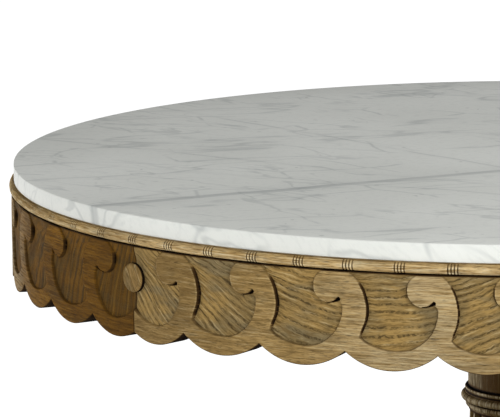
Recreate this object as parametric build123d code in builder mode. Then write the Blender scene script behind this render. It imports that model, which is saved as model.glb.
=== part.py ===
from build123d import *
from math import atan2, cos, degrees, radians, sin
import os

# Round pedestal table: a marble slab on a carved apron ring, carried by a turned and fluted column on a round
# plinth with four feet. Millimetres, +Z up, the origin on the floor under the column's axis.

# Overall sizes
table_height = 762.0
top_radius = 604.0
marble_thickness = 20.0
marble_ease = 1.5
plinth_radius = 350.0

# Fits
glue_gap = 0.3  # between two curved faces that are glued, or that only pass each other
bolt_clearance = 0.5  # on the radius, round a bolt or a rod
screw_clearance = 0.3  # on the radius, round a wood screw
thread_play = 0.05  # on the radius, between a thread and its nut or insert

# Slab and what it lies on
pad_count = 8
pad_radius = 10.0
pad_thickness = 1.5
pad_inset = 103.0  # from the apron's inner face to a pad's centre
sub_top_thickness = 18.0
marble_bottom = table_height - marble_thickness
sub_top_top = marble_bottom - pad_thickness
sub_top_bottom = sub_top_top - sub_top_thickness

# Apron ring: eight carved panels, in mirrored pairs that meet at a curl joint
panel_pairs = 4
pair_angle = 360.0 / panel_pairs
curl_joint = -135.0  # direction of the first joint that the waves curl towards, from +X
first_bay = 7.2  # degrees, the narrow bay beside a curl joint
wide_bays = 4
wide_bay = (pair_angle / 2 - first_bay) / wide_bays
apron_overhang = 3.5
apron_outer = top_radius + apron_overhang
apron_thickness = 27.5
apron_inner = apron_outer - apron_thickness
apron_height = 103.0
moulding_height = 13.0
apron_top = marble_bottom - moulding_height
apron_bottom = apron_top - apron_height
carve_depth = 6.0
carve_run = 4.0  # how far the hollows' cut starts outside the face
trunk_half_width = 14.0  # the root that the two last waves of a pair of panels share
wave_unit = apron_outer * radians(wide_bay) / 100  # one hundredth of a wide bay, along the face
drop_unit = apron_height / 103  # one unit down the face

# Bosses over the curl joints
boss_radius = 15.5
boss_drop = 35.0 * drop_unit  # from the apron's top to the boss's centre
boss_thickness = carve_depth + 0.5
boss_round = 1.2

# Bead moulding between the apron and the slab, in four lengths
moulding_outer = apron_outer + 2.0
moulding_inner = apron_inner + 3.0
quirk_height = 0.7  # the narrow flat above the bead
bead_lift = 1.0  # the bead starts this far above the apron
moulding_shift = 11.1  # degrees from a curl joint to the nearest joint in the moulding
moulding_top = marble_bottom - glue_gap

# Glue blocks inside the apron
block_count = 16
block_length = 40.0
block_depth = 26.0
block_height = 25.0

# Wood screws
screw_radius = 2.2
screw_head_radius = 4.2
screw_head_height = 2.4
block_screw_length = block_height + 12.0

# Bearers under the sub top
bearer_width = 90.0
bearer_end_gap = 20.0
bearer_height = 45.0
bearer_half_length = apron_inner - bearer_end_gap
bearer_bottom = sub_top_bottom - bearer_height
bearer_screw_places = (0.27, 0.5, 0.75, 0.94)  # shares of the bearer's half length
bearer_screw_length = sub_top_thickness + 32.0
pilot_extra = 1.0  # a screw's hole is this much deeper than the screw

# Column pieces, from the top down
rod_radius = 6.0
neck_radius = 77.8
plate_half = 135.0
plate_thickness = 5.0
plate_corner = 45.0
plate_bottom = bearer_bottom - plate_thickness
lag_radius = 4.0
lag_head_radius = 7.5
lag_head_height = 5.5
lag_length = plate_thickness + 36.0
lag_across = 25.0
lag_inset = 17.0
lag_out = plate_half - lag_inset
lag_head_room = 5.5  # between a lag screw's head and the capital
capital_radius = lag_out - lag_head_radius - lag_head_room
capital_height = 32.5
capital_bottom = plate_bottom - capital_height
collar_top = table_height - 271.5
collar_height = 29.5
collar_bottom = collar_top - collar_height
collar_proud = 8.3
collar_radius = neck_radius + collar_proud
shaft_step = 1.6  # the shaft's top is this much slimmer than the neck
shaft_top_radius = neck_radius - shaft_step
shaft_taper = 9.0
shaft_bottom_radius = shaft_top_radius + shaft_taper
flute_count = 24
flute_radius = 7.2
flute_depth = 4.2
flute_run = 20.0  # the flutes' cutters run past both ends

# Base pieces, from the floor up
glide_radius = 20.0
glide_height = 6.0
glide_chamfer = 1.0
stud_radius = 5.0
stud_length = 35.0
foot_gap = 0.5
foot_height = 40.0
foot_radius = 45.0
foot_sole_radius = 28.0
foot_neck_radius = 36.0
foot_neck_height = 5.0
foot_belly_height = 18.0
foot_count = 4
foot_inset = 70.0  # from the plinth's edge to a foot's centre
foot_ring = plinth_radius - foot_inset
tenon_radius = 15.0
tenon_height = 22.0
insert_radius = 7.5
insert_height = 25.0
plinth_height = 45.0
cap_height = 32.0
cap_radius = 231.0
plinth_screw_count = 6
plinth_screw_ring = 140.0
plinth_screw_length = plinth_height + 18.0
torus_height = 40.0
torus_proud = 32.0
torus_radius = shaft_bottom_radius + torus_proud
foot_bottom = glide_height + foot_gap
plinth_bottom = foot_bottom + foot_height
cap_bottom = plinth_bottom + plinth_height
torus_bottom = cap_bottom + cap_height
shaft_bottom = torus_bottom + torus_height

# Tie rod hardware
washer_radius = 18.0
washer_thickness = 2.5
nut_radius = 10.9
nut_height = 10.0
rod_end = 4.0  # what shows past each nut
pocket_room = 2.0
pocket_radius = 24.0  # clearance round the nut and washer
nut_pocket_depth = washer_thickness + nut_height + rod_end + pocket_room
lower_seat = plinth_bottom + nut_pocket_depth
rod_hole = rod_radius + bolt_clearance


def save(builder, name):
    builder.part.label = name
    export_step(builder.part, f"parts/{name}.step")


# A point at a distance from the axis, in a direction in degrees from +X
def polar(radius, angle, height=0.0):
    return (radius * cos(radians(angle)), radius * sin(radians(angle)), height)


# Points spread evenly round the axis
def ring(radius, count, start, height=0.0):
    return [polar(radius, start + 360 * k / count, height) for k in range(count)]


# A plane that faces down at a point, for holes drilled from below
def facing_down(point):
    return Plane(origin=point, x_dir=(1, 0, 0), z_dir=(0, 0, -1))


# A plane on the apron's face: x runs to the right along the face, y up, and z outwards
def face_plane(angle, radius, height):
    return Plane(origin=polar(radius, angle, height), x_dir=polar(1, angle + 90), z_dir=polar(1, angle))


# A piece turned about the Z axis: its outline starts and ends at the bore
def turned(outline_maker, bore, arc=360.0):
    with BuildPart() as piece:
        with BuildSketch(Plane.XZ):
            with BuildLine():
                outline_maker(bore)
            make_face()
        revolve(axis=Axis.Z, revolution_arc=arc)
    return piece


# ---- The hollow beside each wave, as a radial pocket with a round floor ----


# The wide bays' hollow: u runs from 0 to 100 across the bay, v down from the apron's top
def wide_hollow(u, v):
    Spline((u(4), v(4)), (u(16.5), v(21)), (u(22.7), v(42)), (u(15.5), v(67)))
    low = ((15.5, 67), (34, 79), (59, 82), (84, 71), (97.5, 49.5), (95.8, 27))
    Spline(*[(u(across), v(down)) for across, down in low])
    Line((u(95.8), v(27)), (u(81.5), v(34)))
    ThreePointArc((u(81.5), v(34)), (u(66.5), v(17)), (u(75.3), v(4)))
    Line((u(75.3), v(4)), (u(4), v(4)))


# The narrow bay's hollow, which runs through the joint under the boss
def narrow_hollow(u, v):
    Line((u(-1), v(4)), (u(-1), v(67)))
    low = ((-1, 67), (20, 79.5), (45, 82), (65, 67), (73.5, 45), (68.8, 31))
    Spline(*[(u(across), v(down)) for across, down in low])
    Line((u(68.8), v(31)), (u(52.5), v(36)))
    ThreePointArc((u(52.5), v(36)), (u(38), v(19)), (u(48), v(4)))
    Line((u(48), v(4)), (u(-1), v(4)))


# The scallop under a bay: its two cusps and its lowest point, as drops from the apron's top
wide_scallop = ((0.0, 85.0), (0.5, 103.0), (1.0, 85.0))
narrow_scallop = ((0.0, 94.0), (0.424, 103.0), (1.0, 85.0))


# One bay of a panel, from 0 degrees round to its sweep
def make_bay(sweep, scallop, hollow_maker, squeeze=1.0):
    half = apron_outer * radians(sweep) / 2
    face = face_plane(sweep / 2, apron_outer, apron_top)
    with BuildPart() as hollow:
        with BuildSketch(face):
            with BuildLine():
                hollow_maker(lambda share: share * wave_unit * squeeze - half, lambda drop: -drop * drop_unit)
            make_face()
        extrude(amount=carve_depth + carve_run, both=True)
        with Locations((0, 0, apron_bottom)):
            Cylinder(
                apron_outer - carve_depth,
                apron_height,
                align=(Align.CENTER, Align.CENTER, Align.MIN),
                mode=Mode.SUBTRACT,
            )
    with BuildPart() as bay:
        with BuildSketch(Plane.XZ):
            with Locations((apron_inner, apron_bottom)):
                Rectangle(apron_thickness, apron_height, align=(Align.MIN, Align.MIN))
        revolve(axis=Axis.Z, revolution_arc=sweep)
        with BuildSketch(face):
            with BuildLine():
                left, low, right = [((2 * share - 1) * half, -drop * drop_unit) for share, drop in scallop]
                ThreePointArc(left, low, right)
                below = -apron_height - 5
                Polyline(right, (half, below), (-half, below), left)
            make_face()
        extrude(amount=2 * apron_thickness, both=True, mode=Mode.SUBTRACT)
        add(hollow.part, mode=Mode.SUBTRACT)
    return bay.part


narrow_bay = make_bay(first_bay, narrow_scallop, narrow_hollow)
middle_bay = make_bay(wide_bay, wide_scallop, wide_hollow)
bay_width = 100 * wave_unit
last_bay = make_bay(wide_bay, wide_scallop, wide_hollow, squeeze=1 - trunk_half_width / bay_width)

os.makedirs("parts", exist_ok=True)

with BuildPart() as right_panel:
    add(narrow_bay)
    for k in range(wide_bays):
        bay = last_bay if k == wide_bays - 1 else middle_bay
        add(bay.rotate(Axis.Z, first_bay + k * wide_bay))

with BuildPart() as left_panel:
    mirror(right_panel.part, about=Plane.XZ)

for pair in range(panel_pairs):
    turn = curl_joint + pair * pair_angle
    for side, seed in ((1, left_panel), (2, right_panel)):
        with BuildPart() as panel:
            add(seed.part.rotate(Axis.Z, turn))
        save(panel, f"apron_panel_{2 * pair + side}")

with BuildPart() as joint_bosses:
    for pair in range(panel_pairs):
        angle = curl_joint + pair * pair_angle
        seat = face_plane(angle, apron_outer - carve_depth, apron_top - boss_drop)
        with BuildSketch(seat):
            Circle(boss_radius)
        extrude(amount=boss_thickness)
    rims = joint_bosses.edges().filter_by(GeomType.CIRCLE).group_by(lambda e: e.center().length)[-1]
    fillet(rims, boss_round)
save(joint_bosses, "joint_bosses")

# ---- Bead moulding ----


def moulding_outline(inner):
    bead_top = moulding_top - quirk_height
    bead_bottom = apron_top + bead_lift
    bead_back = moulding_outer - (bead_top - bead_bottom) / 2
    Polyline((bead_back, bead_bottom), (bead_back, apron_top), (inner, apron_top), (inner, moulding_top))
    Polyline((inner, moulding_top), (bead_back, moulding_top), (bead_back, bead_top))
    ThreePointArc(
        (bead_back, bead_top),
        (moulding_outer, (bead_top + bead_bottom) / 2),
        (bead_back, bead_bottom),
    )


moulding = turned(moulding_outline, moulding_inner, arc=pair_angle)
for pair in range(panel_pairs):
    with BuildPart() as length:
        add(moulding.part.rotate(Axis.Z, curl_joint + moulding_shift + pair * pair_angle))
    save(length, f"rim_moulding_{pair + 1}")

# ---- Slab, pads and sub top ----

with BuildPart() as marble_top:
    with BuildSketch(Plane.XY.offset(marble_bottom)):
        Circle(top_radius)
    extrude(amount=marble_thickness)
    fillet(marble_top.edges().filter_by(GeomType.CIRCLE), marble_ease)
save(marble_top, "marble_top")

pad_places = ring(apron_inner - pad_inset, pad_count, 180 / pad_count)
with BuildPart() as marble_pads:
    with BuildSketch(Plane.XY.offset(sub_top_top)):
        with Locations(*pad_places):
            Circle(pad_radius)
    extrude(amount=pad_thickness)
save(marble_pads, "marble_pads")

block_screw_ring = apron_inner - block_depth / 2
block_places = ring(block_screw_ring, block_count, 180 / block_count)
bearer_places = [
    polar(share * bearer_half_length, 90 * arm) for arm in range(4) for share in bearer_screw_places
]

with BuildPart() as sub_top:
    with BuildSketch(Plane.XY.offset(sub_top_bottom)):
        Circle(apron_inner - glue_gap)
    extrude(amount=sub_top_thickness)
    with Locations(*[(x, y, sub_top_top) for x, y, z in bearer_places]):
        CounterSinkHole(screw_radius + screw_clearance, screw_head_radius + screw_clearance)
    with Locations(*[facing_down((x, y, sub_top_bottom)) for x, y, z in block_places]):
        Hole(screw_radius + screw_clearance, depth=block_screw_length - block_height + pilot_extra)
save(sub_top, "sub_top")

# ---- Glue blocks and screws ----

block_bottom = sub_top_bottom - block_height
with BuildPart() as glue_blocks:
    for k in range(block_count):
        angle = (k + 0.5) * 360 / block_count
        with BuildSketch(Plane.XY.offset(block_bottom)):
            with Locations(Location(polar(apron_inner, angle), (0, 0, angle))):
                Rectangle(2 * block_depth, block_length)
        extrude(amount=block_height)
    Cylinder(
        apron_inner - glue_gap,
        2 * table_height,
        align=(Align.CENTER, Align.CENTER, Align.CENTER),
        mode=Mode.INTERSECT,
    )
    with Locations(*[facing_down((x, y, block_bottom)) for x, y, z in block_places]):
        CounterSinkHole(screw_radius + screw_clearance, screw_head_radius + screw_clearance)
save(glue_blocks, "glue_blocks")


# Wood screws with countersunk heads, their flat faces on the given planes and their points below them
def wood_screws(planes, length):
    with BuildPart() as screws:
        with Locations(*planes):
            Cylinder(screw_radius, length, align=(Align.CENTER, Align.CENTER, Align.MAX))
            Cone(
                screw_radius,
                screw_head_radius,
                screw_head_height,
                align=(Align.CENTER, Align.CENTER, Align.MAX),
            )
    return screws


block_planes = [facing_down((x, y, block_bottom)) for x, y, z in block_places]
block_screws = wood_screws(block_planes, block_screw_length)
save(block_screws, "block_screws")
bearer_planes = [Plane(origin=(x, y, sub_top_top)) for x, y, z in bearer_places]
bearer_screws = wood_screws(bearer_planes, bearer_screw_length)
save(bearer_screws, "bearer_screws")

# ---- Bearers, halved into each other ----

lag_corners = ((lag_out, lag_across), (lag_across, lag_out))
lag_places = [(i * x, j * y, 0) for x, y in lag_corners for i in (-1, 1) for j in (-1, 1)]


def make_bearer(along_x, notch_bottom):
    length, width = 2 * bearer_half_length, bearer_width
    with BuildPart() as bearer:
        with BuildSketch(Plane.XY.offset(bearer_bottom)):
            Rectangle(length, width) if along_x else Rectangle(width, length)
        extrude(amount=bearer_height)
        ends = bearer.edges().filter_by(Axis.Y if along_x else Axis.X).group_by(Axis.Z)[0]
        chamfer(ends, bearer_height / 2)
        with BuildSketch(Plane.XY.offset(notch_bottom)):
            Rectangle(width, 2 * width) if along_x else Rectangle(2 * width, width)
        extrude(amount=bearer_height / 2, mode=Mode.SUBTRACT)
        arms = [(x, y) for x, y, z in bearer_places if (abs(y) < 1) == along_x]
        with Locations(*[(x, y, sub_top_bottom) for x, y in arms]):
            Hole(screw_radius + screw_clearance, depth=bearer_screw_length - sub_top_thickness + pilot_extra)
        lags = [(x, y) for x, y, z in lag_places if (abs(x) > abs(y)) == along_x]
        with Locations(*[facing_down((x, y, bearer_bottom)) for x, y in lags]):
            Hole(lag_radius + screw_clearance, depth=lag_length - plate_thickness + pilot_extra)
    return bearer


bearer_upper = make_bearer(True, bearer_bottom)
save(bearer_upper, "bearer_upper")

bearer_lower = make_bearer(False, bearer_bottom + bearer_height / 2)
with BuildPart() as bored_bearer:
    add(bearer_lower.part)
    with BuildSketch(Plane.XY.offset(bearer_bottom)):
        Circle(pocket_radius)
    extrude(amount=bearer_height / 2, mode=Mode.SUBTRACT)
save(bored_bearer, "bearer_lower")

# ---- Mounting plate and its lag screws ----

with BuildPart() as mounting_plate:
    with BuildSketch(Plane.XY.offset(plate_bottom)) as plate_outline:
        Rectangle(2 * plate_half, 2 * plate_half)
        chamfer(plate_outline.vertices(), plate_corner)
        Circle(rod_hole, mode=Mode.SUBTRACT)
        with Locations(*lag_places):
            Circle(lag_radius + bolt_clearance, mode=Mode.SUBTRACT)
    extrude(amount=plate_thickness)
save(mounting_plate, "mounting_plate")

with BuildPart() as plate_screws:
    with BuildSketch(Plane.XY.offset(plate_bottom)):
        with Locations(*lag_places):
            RegularPolygon(lag_head_radius, 6)
    extrude(amount=-lag_head_height)
    with BuildSketch(Plane.XY.offset(plate_bottom)):
        with Locations(*lag_places):
            Circle(lag_radius)
    extrude(amount=lag_length)
save(plate_screws, "plate_screws")

# ---- Column ----


def capital_outline(bore):
    top = plate_bottom
    low = capital_bottom
    roll = 10.0
    corner = roll * (1 - cos(radians(45)))
    lip = capital_radius - roll
    Polyline((lip, low), (bore, low), (bore, top), (capital_radius, top), (capital_radius, low + roll))
    ThreePointArc((capital_radius, low + roll), (capital_radius - corner, low + corner), (lip, low))


save(turned(capital_outline, rod_hole), "capital_block")


# A plain drum that flares in a cove under the capital
def neck_outline(bore):
    flare = 20.0
    corner = flare * (1 - cos(radians(45)))
    top = capital_bottom
    cove_top = top - 6
    Polyline((neck_radius, collar_top), (bore, collar_top), (bore, top), (neck_radius + flare, top))
    Line((neck_radius + flare, top), (neck_radius + flare, cove_top))
    ThreePointArc(
        (neck_radius + flare, cove_top),
        (neck_radius + corner, cove_top - corner),
        (neck_radius, cove_top - flare),
    )
    Line((neck_radius, cove_top - flare), (neck_radius, collar_top))


save(turned(neck_outline, rod_hole), "neck")


# Groove, thin ring, sloping cove, large torus, groove and small bead, from the top down
def collar_outline(bore):
    groove, ring_out = neck_radius - 1.3, neck_radius + 3.7
    ring_back, torus_back = ring_out - 2, collar_radius - 4.3
    bead_back, bead_out = neck_radius, neck_radius + 3
    z = [collar_top - drop for drop in (0, 1.5, 5.5, 9.3, 17.9, 19.5, 26.0, collar_height)]
    Polyline((bore, z[0]), (groove, z[0]), (groove, z[1]), (ring_back, z[1]))
    ThreePointArc((ring_back, z[1]), (ring_out, (z[1] + z[2]) / 2), (ring_back, z[2]))
    Line((ring_back, z[2]), (torus_back, z[3]))
    ThreePointArc((torus_back, z[3]), (collar_radius, (z[3] + z[4]) / 2), (torus_back, z[4]))
    Polyline((torus_back, z[4]), (groove, z[4]), (groove, z[5]), (bead_back, z[5]))
    ThreePointArc((bead_back, z[5]), (bead_out, (z[5] + z[6]) / 2), (bead_back, z[6]))
    Polyline((bead_back, z[6]), (bead_back, z[7]), (bore, z[7]), (bore, z[0]))


save(turned(collar_outline, rod_hole), "collar_ring")


def shaft_outline(bore):
    Polyline(
        (bore, shaft_bottom),
        (shaft_bottom_radius, shaft_bottom),
        (shaft_top_radius, collar_bottom),
        (bore, collar_bottom),
        close=True,
    )


shaft_blank = turned(shaft_outline, rod_hole)
shaft_length = collar_bottom - shaft_bottom
shaft_lean = degrees(atan2(shaft_bottom_radius - shaft_top_radius, shaft_length))
flute_out = (shaft_bottom_radius + shaft_top_radius) / 2 + flute_radius - flute_depth

with BuildPart() as fluted_shaft:
    add(shaft_blank.part)
    with PolarLocations(0, flute_count, start_angle=180 / flute_count):
        with Locations(Location((flute_out, 0, shaft_bottom + shaft_length / 2), (0, -shaft_lean, 0))):
            Cylinder(flute_radius, shaft_length + 2 * flute_run, mode=Mode.SUBTRACT)
save(fluted_shaft, "fluted_shaft")


# Small fillet, torus and foot fillet
def torus_outline(bore):
    roll, fillet_size = 13.0, 6.0
    top_fillet = shaft_bottom_radius + fillet_size
    back = torus_radius - roll
    mid = shaft_bottom - fillet_size - roll
    Polyline((bore, torus_bottom), (bore, shaft_bottom), (top_fillet, shaft_bottom), (top_fillet, mid + roll))
    Line((top_fillet, mid + roll), (back, mid + roll))
    ThreePointArc((back, mid + roll), (torus_radius, mid), (back, mid - roll))
    foot_fillet = torus_radius - 7
    Polyline((back, mid - roll), (foot_fillet, mid - roll), (foot_fillet, torus_bottom), (bore, torus_bottom))


save(turned(torus_outline, rod_hole), "base_torus")


# ---- Plinth ----

plinth_screw_places = ring(plinth_screw_ring, plinth_screw_count, 180 / plinth_screw_count)
plinth_screw_planes = [facing_down((x, y, plinth_bottom)) for x, y, z in plinth_screw_places]


# A step, an ogee and a square edge
def cap_outline(bore):
    step_out, step_height, edge = 8.0, 5.0, 9.0
    step = torus_radius + step_out
    rise = cap_height - edge - step_height
    mid_radius = (step + cap_radius) / 2
    edge_top = cap_bottom + edge
    edge_in = cap_radius - 4
    Polyline((bore, cap_bottom), (bore, torus_bottom), (step, torus_bottom), (step, edge_top + rise))
    Spline(
        (step, edge_top + rise),
        (mid_radius, edge_top + rise / 2),
        (edge_in, edge_top),
        tangents=((1, 0), (1, -0.1)),
    )
    Polyline((edge_in, edge_top), (cap_radius, edge_top), (cap_radius, cap_bottom), (bore, cap_bottom))


cap_blank = turned(cap_outline, rod_hole)
with BuildPart() as plinth_cap:
    add(cap_blank.part)
    with Locations(*[facing_down((x, y, cap_bottom)) for x, y, z in plinth_screw_places]):
        Hole(screw_radius + screw_clearance, depth=plinth_screw_length - plinth_height + pilot_extra)
save(plinth_cap, "plinth_cap")


# A quarter round on top, a fillet and a square edge
def plinth_outline(bore):
    roll, fillet_in = 16.0, 4.0
    corner = roll * (1 - cos(radians(45)))
    shoulder, roll_top = plinth_radius - roll, cap_bottom - 3
    fillet_edge = shoulder - fillet_in
    Polyline((bore, plinth_bottom), (bore, cap_bottom), (fillet_edge, cap_bottom), (fillet_edge, roll_top))
    Line((fillet_edge, roll_top), (shoulder, roll_top))
    ThreePointArc(
        (shoulder, roll_top),
        (plinth_radius - corner, roll_top - corner),
        (plinth_radius, roll_top - roll),
    )
    Polyline((plinth_radius, roll_top - roll), (plinth_radius, plinth_bottom), (bore, plinth_bottom))


foot_places = ring(foot_ring, foot_count, 180 / foot_count)
plinth_blank = turned(plinth_outline, rod_hole)
with BuildPart() as plinth_base:
    add(plinth_blank.part)
    with Locations(facing_down((0, 0, plinth_bottom))):
        Hole(pocket_radius, depth=nut_pocket_depth)
    with Locations(*[facing_down((x, y, plinth_bottom)) for x, y, z in foot_places]):
        Hole(tenon_radius + glue_gap, depth=tenon_height + glue_gap)
    with Locations(*plinth_screw_planes):
        CounterSinkHole(screw_radius + screw_clearance, screw_head_radius + screw_clearance)
save(plinth_base, "plinth_base")

plinth_screws = wood_screws(plinth_screw_planes, plinth_screw_length)
save(plinth_screws, "plinth_screws")

# ---- Feet, their inserts and the levelling glides ----


def foot_outline(bore):
    neck_bottom = plinth_bottom - foot_neck_height
    Polyline(
        (foot_sole_radius, foot_bottom),
        (bore, foot_bottom),
        (bore, plinth_bottom + tenon_height),
        (tenon_radius, plinth_bottom + tenon_height),
        (tenon_radius, plinth_bottom),
        (foot_neck_radius, plinth_bottom),
        (foot_neck_radius, neck_bottom),
    )
    Spline(
        (foot_neck_radius, neck_bottom),
        (foot_radius, foot_bottom + foot_belly_height),
        (foot_sole_radius, foot_bottom),
    )


stud_hole = stud_radius + bolt_clearance
foot_blank = turned(foot_outline, stud_hole)
with BuildPart() as foot_seed:
    add(foot_blank.part)
    with Locations(facing_down((0, 0, foot_bottom))):
        Hole(insert_radius + glue_gap, depth=insert_height)

for k, place in enumerate(foot_places):
    with BuildPart() as bun_foot:
        with Locations(place):
            add(foot_seed.part)
    save(bun_foot, f"bun_foot_{k + 1}")

with BuildPart() as foot_inserts:
    with BuildSketch(Plane.XY.offset(foot_bottom)):
        with Locations(*foot_places):
            Circle(insert_radius)
            Circle(stud_radius + thread_play, mode=Mode.SUBTRACT)
    extrude(amount=insert_height)
save(foot_inserts, "foot_inserts")

for k, place in enumerate(foot_places):
    with BuildPart() as leveller:
        with BuildSketch():
            with Locations(place):
                Circle(glide_radius)
        extrude(amount=glide_height)
        chamfer(leveller.edges().filter_by(GeomType.CIRCLE).group_by(Axis.Z)[-1], glide_chamfer)
        with BuildSketch(Plane.XY.offset(glide_height)):
            with Locations(place):
                Circle(stud_radius)
        extrude(amount=stud_length)
    save(leveller, f"leveller_{k + 1}")

# ---- Tie rod, washers and nuts ----

upper_seat = bearer_bottom
washer_levels = (upper_seat, lower_seat - washer_thickness)
nut_levels = (upper_seat + washer_thickness, lower_seat - washer_thickness - nut_height)

with BuildPart() as tie_rod:
    with BuildSketch(Plane.XY.offset(nut_levels[1] - rod_end)):
        Circle(rod_radius)
    extrude(amount=nut_levels[0] - nut_levels[1] + nut_height + 2 * rod_end)
save(tie_rod, "tie_rod")

with BuildPart() as rod_washers:
    for level in washer_levels:
        with BuildSketch(Plane.XY.offset(level)):
            Circle(washer_radius)
            Circle(rod_hole, mode=Mode.SUBTRACT)
        extrude(amount=washer_thickness)
save(rod_washers, "rod_washers")

with BuildPart() as rod_nuts:
    for level in nut_levels:
        with BuildSketch(Plane.XY.offset(level)):
            RegularPolygon(nut_radius, 6)
            Circle(rod_radius + thread_play, mode=Mode.SUBTRACT)
        extrude(amount=nut_height)
save(rod_nuts, "rod_nuts")
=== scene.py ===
import bmesh
import bpy
import numpy as np
from mathutils import Matrix, Vector


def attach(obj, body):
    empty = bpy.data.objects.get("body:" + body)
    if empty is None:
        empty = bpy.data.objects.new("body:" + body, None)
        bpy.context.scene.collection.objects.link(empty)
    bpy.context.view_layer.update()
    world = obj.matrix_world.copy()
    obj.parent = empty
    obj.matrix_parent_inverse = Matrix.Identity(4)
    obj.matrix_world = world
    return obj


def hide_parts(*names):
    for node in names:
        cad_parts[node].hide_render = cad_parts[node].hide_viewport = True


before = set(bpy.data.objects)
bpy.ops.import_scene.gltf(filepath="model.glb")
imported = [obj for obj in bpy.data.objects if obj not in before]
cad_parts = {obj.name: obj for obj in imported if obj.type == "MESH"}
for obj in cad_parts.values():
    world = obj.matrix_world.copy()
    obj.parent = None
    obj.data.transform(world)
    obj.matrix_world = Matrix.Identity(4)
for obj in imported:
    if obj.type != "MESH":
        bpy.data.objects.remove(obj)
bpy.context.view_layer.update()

mm = 0.001
degree = np.pi / 180
scene = bpy.context.scene
print("frame loaded:", len(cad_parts), "CAD nodes")


def smoothStep(low, high, x):  # 0 below low, 1 above high, and 3t^2 - 2t^3 between
    t = np.clip((x - low) / (high - low), 0, 1)
    return t * t * (3 - 2 * t)


def bellCurve(x, width):  # e to the minus (x / width) squared
    return np.exp(-(x / width) ** 2)


def nodeReach(name):  # in mm: a node's least and greatest distance from the Z axis, its lowest and highest z
    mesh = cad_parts[name].data
    co = np.empty(len(mesh.vertices) * 3)
    mesh.vertices.foreach_get("co", co)
    co = co.reshape(-1, 3)
    reach = np.hypot(co[:, 0], co[:, 1])
    return np.array([reach.min(), reach.max(), co[:, 2].min(), co[:, 2].max()]) / mm


slabRadius, slabLow, slabHigh = nodeReach("marble_top")[1:]


def smoothPath(marks, steps=10):  # a curve through the marks: cubics that leave along their neighbours' chord
    marks = np.array(marks, float)
    ends = np.vstack([2 * marks[0] - marks[1], marks, 2 * marks[-1] - marks[-2]])
    t = np.linspace(0, 1, steps, endpoint=False)[None, :, None]
    a, b, c, d = (ends[i:len(marks) - 1 + i, None, :] for i in range(4))
    curve = b + 0.5 * t * (c - a + t * (2 * a - 5 * b + 4 * c - d + t * (3 * (b - c) + d - a)))
    return np.vstack([curve.reshape(-1, marks.shape[1]), marks[-1:]])


def arcPoints(centre, radius, start, end, count):  # points on a circle from start to end, in degrees
    angle = np.linspace(start, end, count) * degree
    return np.column_stack([centre[0] + radius * np.cos(angle), centre[1] + radius * np.sin(angle)])


def runLength(profile):  # distance along a profile from its first point
    return np.concatenate([[0], np.cumsum(np.hypot(*np.diff(profile, axis=0).T))])


def aroundAxis(radius, angle, height):  # x = radius cos(angle), y = radius sin(angle), z = height, in metres
    return np.stack([radius * np.cos(angle), radius * np.sin(angle), height], axis=-1) * mm


def insideDistance(x, y, outline):
    # distance to a closed outline, positive inside it, and the nearest point on it: a point is dropped square
    # onto every side, and is inside where a ray along x crosses the sides an odd number of times
    px, py = x.ravel()[:, None], y.ravel()[:, None]
    a, b = outline, np.roll(outline, -1, axis=0)
    ax, ay, bx, by = a[:, 0], a[:, 1], b[:, 0], b[:, 1]
    ex, ey = bx - ax, by - ay
    share = np.clip(((px - ax) * ex + (py - ay) * ey) / (ex * ex + ey * ey + 1e-12), 0, 1)
    nearX, nearY = ax + share * ex, ay + share * ey
    away = (px - nearX) ** 2 + (py - nearY) ** 2
    rising = (ay <= py) != (by <= py)
    crossing = rising & (px < ax + (py - ay) * ex / np.where(ey == 0, 1e-12, ey))
    inside = crossing.sum(axis=1) % 2 == 1
    best = away.argmin(axis=1)[:, None]
    distance = np.sqrt(np.take_along_axis(away, best, axis=1)).ravel()
    distance = np.where(inside, distance, -distance).reshape(x.shape)
    nearest = [np.take_along_axis(near, best, axis=1).reshape(x.shape) for near in (nearX, nearY)]
    return distance, *nearest


def gridMesh(name, points, uv, marks=None, loopU=False, loopV=False, capEnds=False, flip=False):
    # quads between the points (row, column), (row + 1, column), (row + 1, column + 1) and (row, column + 1),
    # with a UV map and with marks as values at the points
    rows, cols = points.shape[:2]
    index = np.arange(rows * cols).reshape(rows, cols)
    nextRow = np.roll(index, -1, axis=0) if loopU else index[1:]
    thisRow = index if loopU else index[:-1]
    if loopV:
        quad = [thisRow, nextRow, np.roll(nextRow, -1, axis=1), np.roll(thisRow, -1, axis=1)]
    else:
        quad = [thisRow[:, :-1], nextRow[:, :-1], nextRow[:, 1:], thisRow[:, 1:]]
    quads = np.stack(quad, axis=-1).reshape(-1, 4)
    if flip:
        quads = quads[:, ::-1]
    faces = quads.tolist()
    if capEnds:
        first, last = index[0].tolist(), index[-1].tolist()
        faces += [first[::-1] if flip else first, last if flip else last[::-1]]
    mesh = bpy.data.meshes.new(name)
    mesh.from_pydata(points.reshape(-1, 3).tolist(), [], faces)
    corner = np.empty(len(mesh.loops), np.int32)
    mesh.loops.foreach_get("vertex_index", corner)
    layer = mesh.uv_layers.new(name="grain")
    layer.data.foreach_set("uv", uv.reshape(-1, 2)[corner].astype(np.float32).ravel())
    for key, values in (marks or {}).items():
        attribute = mesh.attributes.new(key, "FLOAT", "POINT")
        attribute.data.foreach_set("value", np.broadcast_to(values, (rows, cols)).astype(np.float32).ravel())
    mesh.shade_smooth()
    piece = bpy.data.objects.new(name, mesh)
    scene.collection.objects.link(piece)
    return piece


def weld(piece, distance):  # merges points that are closer than the distance, such as a pole's
    work = bmesh.new()
    work.from_mesh(piece.data)
    bmesh.ops.remove_doubles(work, verts=work.verts, dist=distance)
    bmesh.ops.recalc_face_normals(work, faces=work.faces)
    work.to_mesh(piece.data)
    work.free()


def coat(piece, material):  # the piece takes one material
    piece.data.materials.clear()
    piece.data.materials.append(material)


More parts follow.
